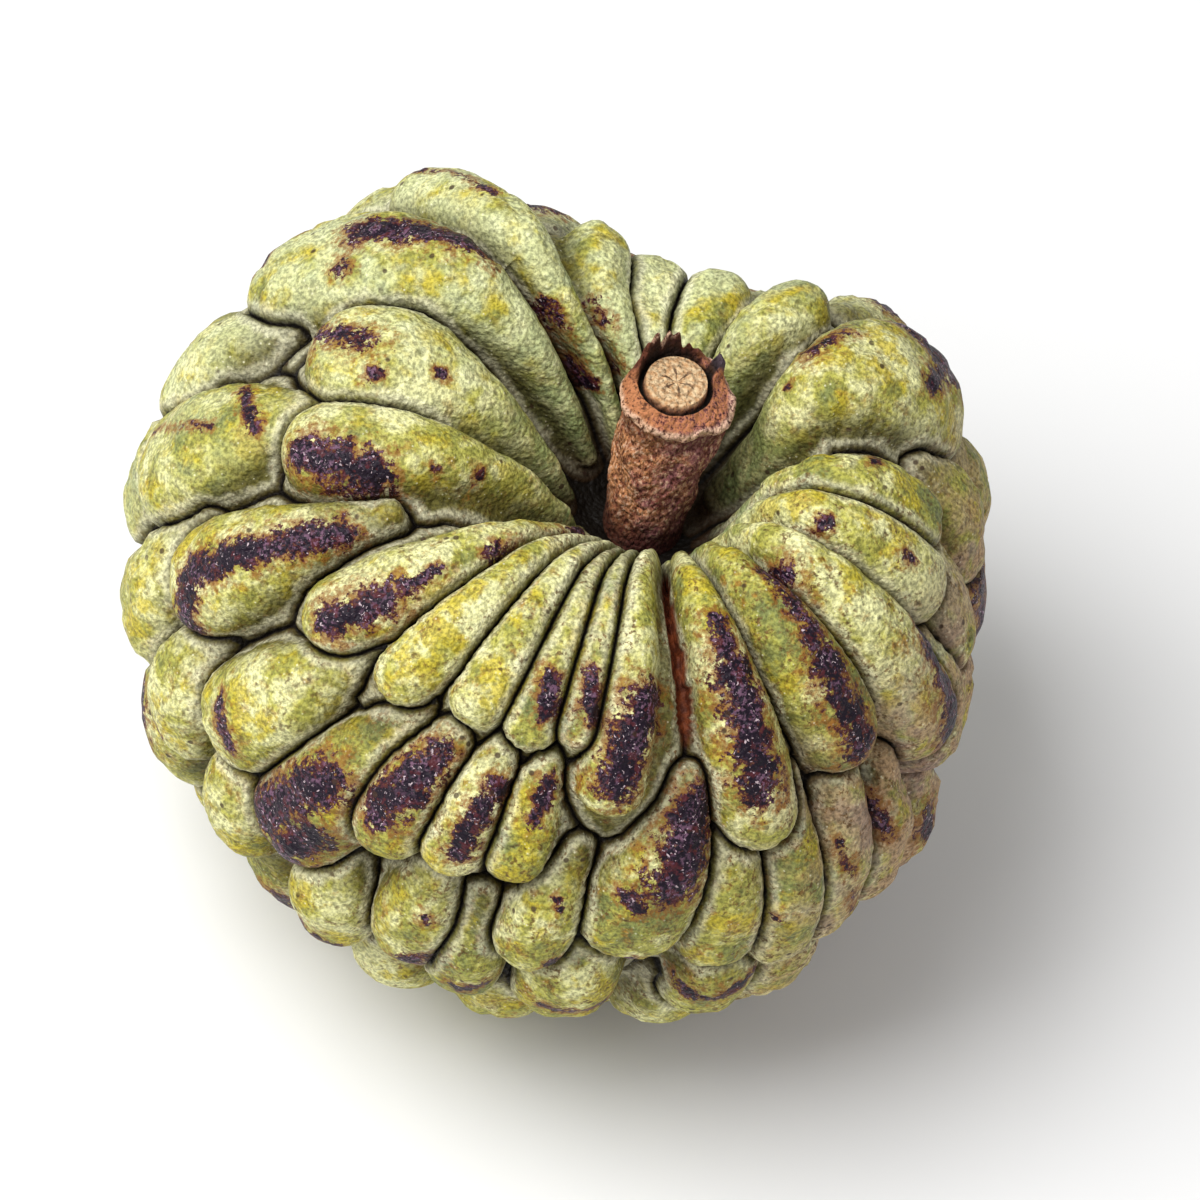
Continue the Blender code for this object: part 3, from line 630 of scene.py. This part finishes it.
class Recipe:
    """A material under construction. Sizes are millimetres, and masks run from 0 to 1."""

    def __init__(self, name):
        self.material = bpy.data.materials.new(name)
        self.material.use_nodes = True
        self.tree = self.material.node_tree
        self.shader = self.tree.nodes["Principled BSDF"]
        place = self.tree.nodes.new("ShaderNodeTexCoord").outputs["Object"]
        self.place = self.stretch(place, (1 / MM, 1 / MM, 1 / MM))

    def put(self, socket, value):
        if isinstance(value, bpy.types.NodeSocket):
            self.tree.links.new(value, socket)
        else:
            socket.default_value = value

    def stretch(self, vector, factors):
        node = self.tree.nodes.new("ShaderNodeVectorMath")
        node.operation = "MULTIPLY"
        self.put(node.inputs[0], vector)
        self.put(node.inputs[1], factors)
        return node.outputs[0]

    def value(self, name):
        node = self.tree.nodes.new("ShaderNodeAttribute")
        node.attribute_name = name
        return node.outputs["Fac"]

    def noise(self, size, detail=3.0, roughness=0.55, place=None, distortion=0.0):
        node = self.tree.nodes.new("ShaderNodeTexNoise")
        self.put(node.inputs["Vector"], place or self.place)
        node.inputs["Scale"].default_value = 1 / size
        node.inputs["Detail"].default_value = detail
        node.inputs["Roughness"].default_value = roughness
        node.inputs["Distortion"].default_value = distortion
        return node.outputs["Fac"]

    def cells(self, size, place=None):
        node = self.tree.nodes.new("ShaderNodeTexVoronoi")
        self.put(node.inputs["Vector"], place or self.place)
        node.inputs["Scale"].default_value = 1 / size
        return node.outputs["Distance"]

    def math(self, operation, first, second=0.0, third=0.0):
        node = self.tree.nodes.new("ShaderNodeMath")
        node.operation = operation
        for socket, value in zip(node.inputs, (first, second, third)):
            self.put(socket, value)
        return node.outputs[0]

    def step(self, value, low, high):
        """0 up to the low value, 1 from the high one, smooth between. Low may be the greater."""
        node = self.tree.nodes.new("ShaderNodeMapRange")
        node.interpolation_type = "SMOOTHSTEP"
        ends = (0.0, 1.0) if low < high else (1.0, 0.0)
        for socket, number in zip(node.inputs, (value, min(low, high), max(low, high), *ends)):
            self.put(socket, number)
        return node.outputs[0]

    def mix(self, share, first, second, blend="MIX"):
        node = self.tree.nodes.new("ShaderNodeMix")
        node.data_type = "RGBA"
        node.blend_type = blend
        self.put(node.inputs["Factor"], share)
        self.put(node.inputs[6], first)
        self.put(node.inputs[7], second)
        return node.outputs[2]

    def times(self, first, second):
        return self.math("MULTIPLY", first, second)

    def bump(self, height, distance, below=None):
        node = self.tree.nodes.new("ShaderNodeBump")
        self.put(node.inputs["Height"], height)
        node.inputs["Distance"].default_value = distance * MM
        if below is not None:
            self.put(node.inputs["Normal"], below)
        return node.outputs[0]


def skin_ground(r, broad, patch, speckle):
    """Mottled green, fresher at the roots and, partly as painted light, paler on the back left, with yellow
    and ochre patches and painted olive shade down the domes' sides.
    """
    wear, root = r.value("wear"), r.value("root")
    mottle = r.math("MULTIPLY_ADD", broad, 0.5, r.times(patch, 0.5))
    mottle = r.math("MULTIPLY_ADD", r.value("tint"), 0.05, mottle)
    colour = r.mix(r.step(mottle, 0.36, 0.5), GREY_GREEN, YELLOW_GREEN)
    colour = r.mix(r.step(r.math("MULTIPLY_ADD", root, 0.05, mottle), 0.46, 0.6), colour, PALE_GREEN)
    yellow = r.times(r.step(r.noise(3.8, 4.0, 0.62), 0.5, 0.62), r.math("MULTIPLY_ADD", root, -0.8, 1.0))
    colour = r.mix(r.times(yellow, 0.8), colour, CHARTREUSE)
    ochre = r.times(r.step(r.noise(2.6, 5.0, 0.68), 0.53, 0.64), r.step(speckle, 0.4, 0.58))
    colour = r.mix(r.times(ochre, r.math("MULTIPLY_ADD", wear, 0.65, 0.25)), colour, OCHRE)
    # paler fresh green on the back left: partly painted light on that side, partly the skin's own greener
    # tone
    fresh_and_lit = r.times(r.step(wear, 0.5, 0.1), r.step(r.noise(5.0, 3.0, 0.6), 0.4, 0.56))
    colour = r.mix(r.times(fresh_and_lit, 0.7), colour, FRESH_AND_LIT_GREEN)
    colour = r.mix(r.times(root, r.step(patch, 0.62, 0.42)), colour, ROOT_GREEN)
    # painted shade: darker olive as each dome falls away from its crest towards the creases
    return r.mix(r.times(r.step(r.value("crest"), 0.9, 0.1), 0.85), colour, SHADE_OLIVE)


def skin_wear(r, colour, broad, patch):
    """A pale bloom along the rims, a tan cast low on the right, and a brown network where worn."""
    crease, cast = r.value("crease"), r.value("cast")
    blotch = r.noise(2.4, 3.0, 0.6)
    rim_noise = r.math("MULTIPLY_ADD", blotch, 2.4, -1.1)
    rim = r.times(r.step(crease, 0.35, 0.8), r.step(r.math("SUBTRACT", crease, rim_noise), 1.8, 0.8))
    colour = r.mix(r.times(rim, 0.42), colour, CREAM)
    colour = r.mix(r.times(cast, r.step(patch, 0.36, 0.56)), colour, TAN)
    colour = r.mix(r.times(cast, r.times(r.step(broad, 0.52, 0.62), 0.6)), colour, MAUVE)
    network = r.times(r.step(r.noise(0.55, 3.0, 0.65), 0.5, 0.38), r.step(blotch, 0.42, 0.6))
    return r.mix(r.times(network, r.math("MULTIPLY_ADD", r.value("wear"), 0.85, 0.05)), colour, BROWN)


def skin_grain(r, colour, speckle, grain, pores):
    """Fine light and dark grain, with pale painted glint highlights."""
    light = r.math("MULTIPLY_ADD", r.step(grain, 0.32, 0.66), 0.66, 0.54)
    light = r.math("MULTIPLY_ADD", r.step(pores, 0.6, 0.2), 0.16, light)
    colour = r.mix(1.0, colour, light, "MULTIPLY")
    # painted highlights: pale cream glints on the grains
    glint_highlights = r.times(r.step(pores, 0.24, 0.1), r.step(speckle, 0.47, 0.62))
    return r.mix(r.times(glint_highlights, 0.55), colour, CREAM)


def skin_marks(r, colour, patch, speckle, grain):
    """The dark, granular marks with a brown halo and painted glint highlights. Also returns the mask of
    their insides.
    """
    ragged = r.math("SUBTRACT", r.noise(1.9, 5.0, 0.72), 0.5)
    ragged = r.math("MULTIPLY_ADD", ragged, 3.4, r.value("marks"))
    grainy = r.math("SUBTRACT", r.noise(0.5, 3.0, 0.65), 0.5)
    grainy = r.math("MULTIPLY_ADD", grainy, 2.2, ragged)
    halo = r.times(r.step(grainy, -1.0, -0.2), r.step(speckle, 0.38, 0.55))
    colour = r.mix(r.times(halo, 0.8), colour, OCHRE_BROWN)
    colour = r.mix(r.step(grainy, -0.12, 0.12), colour, MARK_EDGE)
    colour = r.mix(r.step(grainy, 0.12, 0.42), colour, MARK_CORE)
    rusty = r.times(r.step(speckle, 0.54, 0.64), r.step(grainy, 0.1, 0.4))
    colour = r.mix(r.times(rusty, 0.6), colour, MARK_RUST)
    inside = r.step(grainy, 0.0, 0.4)
    bloom = r.times(r.step(grain, 0.48, 0.62), r.step(patch, 0.42, 0.6))
    colour = r.mix(r.times(r.times(bloom, inside), 0.7), colour, MARK_BLOOM)
    # painted highlights: pinkish-white glints on the grains inside the marks
    mark_glint_highlights = r.times(r.step(r.noise(0.38, 2.0, 0.6, distortion=0.6), 0.63, 0.7), inside)
    return r.mix(r.times(mark_glint_highlights, 0.8), colour, MARK_GLINT_HIGHLIGHT), inside


def skin_depths(r, colour, broad, speckle):
    """Small dark specks, then painted shade in the pit, along the creases and in the gaps, and the fibres
    in the open crack.
    """
    crease = r.value("crease")
    specks = r.times(r.step(r.cells(2.6), 0.15, 0.09), r.step(broad, 0.46, 0.54))
    colour = r.mix(r.times(specks, 0.85), colour, SPECK)
    # painted shade: the pit round the stalk is coloured dark reddish brown
    colour = r.mix(r.times(r.value("pit"), 0.9), colour, PIT_SHADE)
    # painted shade: brown darkening over the last millimetre or so towards each crease
    colour = r.mix(r.times(r.step(crease, 1.3, 0.3), 0.6), colour, SEAM_SHADE)
    # painted shade: near black in the narrowest part of each crease
    colour = r.mix(r.step(crease, 0.45, 0.1), colour, PAINTED_SHADE_BLACK)
    # painted shade: near black on the floor of the grooves between domes
    colour = r.mix(r.value("gap"), colour, PAINTED_SHADE_BLACK)
    fibres = r.mix(r.step(speckle, 0.35, 0.65), CRACK_DARK, CRACK)
    return r.mix(r.step(r.value("crack"), 0.25, 0.75), colour, fibres)


def skin_material():
    """Mottled green skin with a pale bloom along the rims and dark, granular marks."""
    r = Recipe("fruit_skin")
    broad = r.noise(7.0, 3.0, 0.6)
    patch = r.noise(3.2, 4.0, 0.62, distortion=0.4)
    speckle = r.noise(1.1, 3.0, 0.6)
    grain = r.noise(0.42, 2.0, 0.6)
    pores = r.cells(0.62)
    colour = skin_ground(r, broad, patch, speckle)
    colour = skin_wear(r, colour, broad, patch)
    colour = skin_grain(r, colour, speckle, grain, pores)
    colour, inside = skin_marks(r, colour, patch, speckle, grain)
    r.put(r.shader.inputs["Base Color"], skin_depths(r, colour, broad, speckle))
    r.put(r.shader.inputs["Roughness"], r.math("MULTIPLY_ADD", inside, -0.1, 0.6))
    r.shader.inputs["Specular IOR Level"].default_value = 0.22
    soft = r.bump(r.noise(1.6, 3.0, 0.55), 0.45)
    scab = r.times(r.step(r.value("marks"), -0.3, 0.6), r.noise(0.6, 1.0, 0.5))
    fine = r.bump(r.math("ADD", scab, r.math("SUBTRACT", grain, pores)), 0.16, soft)
    r.put(r.shader.inputs["Normal"], fine)
    return r.material


def stalk_place():
    """The middle of the pit's floor, where the stalk stands."""
    return np.array((PIT_OFFSET[0] - CENTRE[0], PIT_OFFSET[1] - CENTRE[1], OUTLINE[1][1] - FOOT_CUT))


def bark(points):
    """Lays the spun stalk's points out along its lean, with ridged bark, a bulge, a torn rim and
    a scrap of bark. Also returns how torn the rim is at each point, and where the scrap is."""
    turn = np.arctan2(points[:, 1], points[:, 0])
    radius = np.hypot(points[:, 0], points[:, 1])
    height = points[:, 2].copy()
    outside = smooth_step(*BARK_FROM, height) * smooth_step(*BARK_RADIUS, radius)
    ridges = sum(strength * np.sin(count * turn + twist * height + start)
                 for count, twist, start, strength in BARK_WAVES)
    bulge = np.clip(np.cos(turn - math.radians(BULGE_AZIMUTH)), 0, 1) ** 2
    bulge *= smooth_step(*BULGE_FROM, height) * (1 - smooth_step(*BULGE_TO, height)) * outside
    grit = sum(strength * noise_at(points, size, size) for size, strength in BARK_GRIT)
    lip = smooth_step(*LIP_RADIUS, radius) * smooth_step(*LIP_HEIGHT, height)
    torn = np.clip(np.cos(turn - math.radians(TORN_RIM_AZIMUTH)), 0, 1) ** 2
    teeth = 1 + TOOTH_SHARE * (np.sin(TORN_TEETH * turn) + np.sin(2 * TORN_TEETH * turn + 1))
    rim = smooth_step(*TORN_RIM_FROM, height) * smooth_step(*RIM_RADIUS, radius)
    torn *= rim
    scrap = np.clip(1 - np.abs(turn - math.radians(SCRAP_AZIMUTH)) / math.radians(SCRAP_HALF_WIDTH), 0, 1)
    scrap = rim * np.minimum(2 * scrap, 1)
    lean = np.tan(np.radians(STALK_LEAN)) * np.clip(height, 0, None)[:, None]
    radius = radius + (BARK_RIDGE * ridges + grit) * outside + BULGE * bulge + SCRAP_OUT * scrap
    height += LIP_WAVE * lip * sum(np.sin(count * turn + start) for count, start in LIP_RIPPLES)
    height += TORN_RIM_HEIGHT * torn * teeth + SCRAP_HEIGHT * scrap
    across = radius[:, None] * np.column_stack((np.cos(turn), np.sin(turn))) + lean
    return np.column_stack((across, height)), torn, scrap


def make_stem():
    """The stalk: its outline spun round on a fine net, then roughened into bark."""
    outline = np.array(STALK_OUTLINE)
    knots = np.concatenate(([0], np.cumsum(np.hypot(*np.diff(outline, axis=0).T))))
    rows = np.linspace(0, knots[-1], STALK_ROWS)
    net = bmesh.new()
    radii, heights = (np.interp(rows, knots, column) for column in outline.T)
    spots = [net.verts.new((radius, 0, height)) for radius, height in zip(radii, heights)]
    for start, end in zip(spots, spots[1:]):
        net.edges.new((start, end))
    bmesh.ops.spin(net, geom=net.verts[:] + net.edges[:], axis=(0, 0, 1), cent=(0, 0, 0),
                   angle=math.tau, steps=STALK_SIDES, use_merge=True)
    bmesh.ops.remove_doubles(net, verts=net.verts[:], dist=0.001)
    bmesh.ops.triangulate(net, faces=net.faces[:])
    spun = np.array([vert.co for vert in net.verts])
    radius, height = np.hypot(spun[:, 0], spun[:, 1]), spun[:, 2]
    values = {
        "wood": (1 - smooth_step(*WOOD_RADIUS, radius)) * smooth_step(*WOOD_HEIGHT, height),
        "hollow": smooth_step(*HOLLOW_RADIUS, radius) * (1 - smooth_step(*HOLLOW_EDGE, radius))
        * smooth_step(*HOLLOW_HEIGHT, height),
        "radius": radius,
        "turn_x": spun[:, 0],
        "turn_y": spun[:, 1],
        "height": height,
    }
    placed, values["torn"], values["scrap"] = bark(spun)
    for vert, point in zip(net.verts, placed + stalk_place()):
        vert.co = point * MM
    return add_piece("stalk_bark", net, values, bark_material())


def cut_wood(r):
    """Pale wood with faint rings and a star of cracks."""
    radius = r.value("radius")
    spokes = r.math("ARCTAN2", r.value("turn_y"), r.value("turn_x"))
    spokes = r.math("SINE", r.math("MULTIPLY_ADD", spokes, 6.0, r.times(r.noise(1.2), 5.0)))
    star = r.times(r.step(spokes, 0.7, 0.95), r.step(radius, 2.2, 1.2))
    rings = r.math("SINE", r.math("MULTIPLY_ADD", radius, 7.0, r.times(r.noise(1.5), 3.0)))
    wood = r.mix(r.step(r.noise(0.5, 3.0, 0.6), 0.35, 0.65), WOOD_PALE, WOOD_TAN)
    wood = r.mix(r.times(r.step(rings, 0.3, 0.9), 0.3), wood, WOOD_CRACK)
    return r.mix(r.times(star, 0.85), wood, WOOD_CRACK)


def bark_material():
    """Granular red-brown bark, tan on the left and mauve on the right partly as painted light, a pale cut
    end with cracks, and painted shade in the gap between them, under the lip and at the foot.
    """
    r = Recipe("stalk_bark")
    height, radius = r.value("height"), r.value("radius")
    upright = r.stretch(r.place, (1, 1, 0.6))
    flecks = r.noise(0.42, 3.0, 0.7, upright)
    grit = r.cells(0.5, upright)
    fibres = r.noise(1.1, 4.0, 0.65, r.stretch(r.place, (1, 1, 0.45)))
    # lighter tan on the left and darker mauve on the right: partly painted light from the left, partly the
    # bark's own two tones
    side = r.math("MULTIPLY_ADD", r.value("turn_x"), -0.06, r.noise(2.6, 4.0, 0.65))
    colour = r.mix(r.step(side, 0.3, 0.68), BARK_MAUVE, BARK_TAN)
    colour = r.mix(r.times(r.step(fibres, 0.52, 0.4), 0.6), colour, BARK_RED)
    colour = r.mix(r.times(r.step(flecks, 0.5, 0.36), 0.85), colour, BARK_DARK)
    colour = r.mix(r.times(r.step(flecks, 0.52, 0.64), 0.8), colour, BARK_PALE)
    # painted shade: the bark darkens just under the lip of the rim
    shade_under_lip = r.times(r.step(height, 17.6, 16.8), r.step(height, 14.0, 16.0))
    colour = r.mix(r.times(shade_under_lip, 0.45), colour, BARK_DARK)
    lip = r.times(r.times(r.step(radius, 4.95, 5.2), r.step(height, 17.6, 18.0)), r.step(flecks, 0.36, 0.5))
    colour = r.mix(r.times(lip, 0.8), colour, BARK_PALE)
    band = r.times(r.step(height, 18.5, 18.9), r.step(radius, 5.2, 4.9))
    colour = r.mix(r.times(band, r.step(flecks, 0.38, 0.55)), colour, RIM_TAN)
    colour = r.mix(r.times(r.step(r.value("torn"), 0.1, 0.4), 0.85), colour, TORN_RED)
    tips = r.times(r.step(r.value("torn"), 0.8, 1.0), r.step(flecks, 0.4, 0.55))
    colour = r.mix(r.times(tips, 0.8), colour, BARK_PALE)
    colour = r.mix(r.step(r.value("scrap"), 0.3, 0.7), colour, SCRAP_GREY)
    # painted shade: the stalk darkens towards its foot down in the pit
    colour = r.mix(r.times(r.step(height, 6, 0.5), 0.9), colour, BARK_FOOT_SHADE)
    # painted shade: the hollow between bark and wood is coloured near black
    colour = r.mix(r.value("hollow"), colour, PAINTED_SHADE_BLACK)
    colour = r.mix(r.value("wood"), colour, cut_wood(r))
    r.put(r.shader.inputs["Base Color"], colour)
    r.shader.inputs["Roughness"].default_value = 0.75
    r.shader.inputs["Specular IOR Level"].default_value = 0.25
    coarse = r.bump(fibres, 0.6)
    r.put(r.shader.inputs["Normal"], r.bump(r.math("SUBTRACT", flecks, grit), 0.35, coarse))
    return r.material


def add_floor():
    """A plain pale floor under the fruit."""
    mesh = bpy.data.meshes.new("floor")
    net = bmesh.new()
    bmesh.ops.create_grid(net, x_segments=1, y_segments=1, size=FLOOR_SIZE / 2)
    net.to_mesh(mesh)
    net.free()
    recipe = Recipe("floor")
    recipe.shader.inputs["Base Color"].default_value = FLOOR_COLOUR
    recipe.shader.inputs["Roughness"].default_value = 0.9
    mesh.materials.append(recipe.material)
    floor = bpy.data.objects.new("floor", mesh)
    floor.location.z = -FLOOR_GAP * MM
    bpy.context.scene.collection.objects.link(floor)


def add_light(name, azimuth, elevation, distance, size, power):
    """A square soft light that looks at the fruit, placed by the angles it comes from."""
    data = bpy.data.lights.new(name, "AREA")
    data.size = size
    data.energy = power
    light = bpy.data.objects.new(name, data)
    turn, lift = math.radians(azimuth), math.radians(elevation)
    way = Vector((math.cos(turn) * math.cos(lift), math.sin(turn) * math.cos(lift), math.sin(lift)))
    light.location = Vector(VIEW_TARGET) * MM + way * distance
    light.rotation_mode = "QUATERNION"
    light.rotation_quaternion = way.to_track_quat("Z", "Y")
    bpy.context.scene.collection.objects.link(light)


def add_world():
    """An even white surrounding that keeps the shadows soft."""
    world = bpy.data.worlds.new("studio")
    world.use_nodes = True
    background = world.node_tree.nodes["Background"]
    background.inputs["Color"].default_value = (1.0, 1.0, 1.0, 1.0)
    background.inputs["Strength"].default_value = WORLD_STRENGTH
    bpy.context.scene.world = world


def add_camera():
    """The photograph's view: from above the front, a little rolled, framed closer."""
    lift, roll = math.radians(VIEW_ELEVATION), math.radians(VIEW_ROLL)
    back = Vector((0, -math.cos(lift), math.sin(lift)))
    right = Vector((1, 0, 0))
    up = back.cross(right)
    rolled_right = right * math.cos(roll) + up * math.sin(roll)
    rolled_up = up * math.cos(roll) - right * math.sin(roll)
    place = Matrix((rolled_right, rolled_up, back)).transposed().to_4x4()
    place.translation = Vector(VIEW_TARGET) * MM + back * VIEW_DISTANCE
    camera = bpy.data.objects.new("camera", bpy.data.cameras.new("camera"))
    camera.matrix_world = place
    camera.data.sensor_width = SENSOR_WIDTH
    camera.data.lens = SENSOR_WIDTH * VIEW_DISTANCE / VIEW_WIDTH
    camera.data.clip_start = 0.01
    bpy.context.scene.collection.objects.link(camera)
    bpy.context.scene.camera = camera


def main():
    fruit = make_fruit()
    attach(fruit, "root")
    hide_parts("fruit")
    stem = make_stem()
    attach(stem, "root")
    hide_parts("stem")
    add_floor()
    add_world()
    for light in LIGHTS:
        add_light(*light)
    add_camera()
    bpy.context.scene.view_settings.view_transform = "Standard"


main()
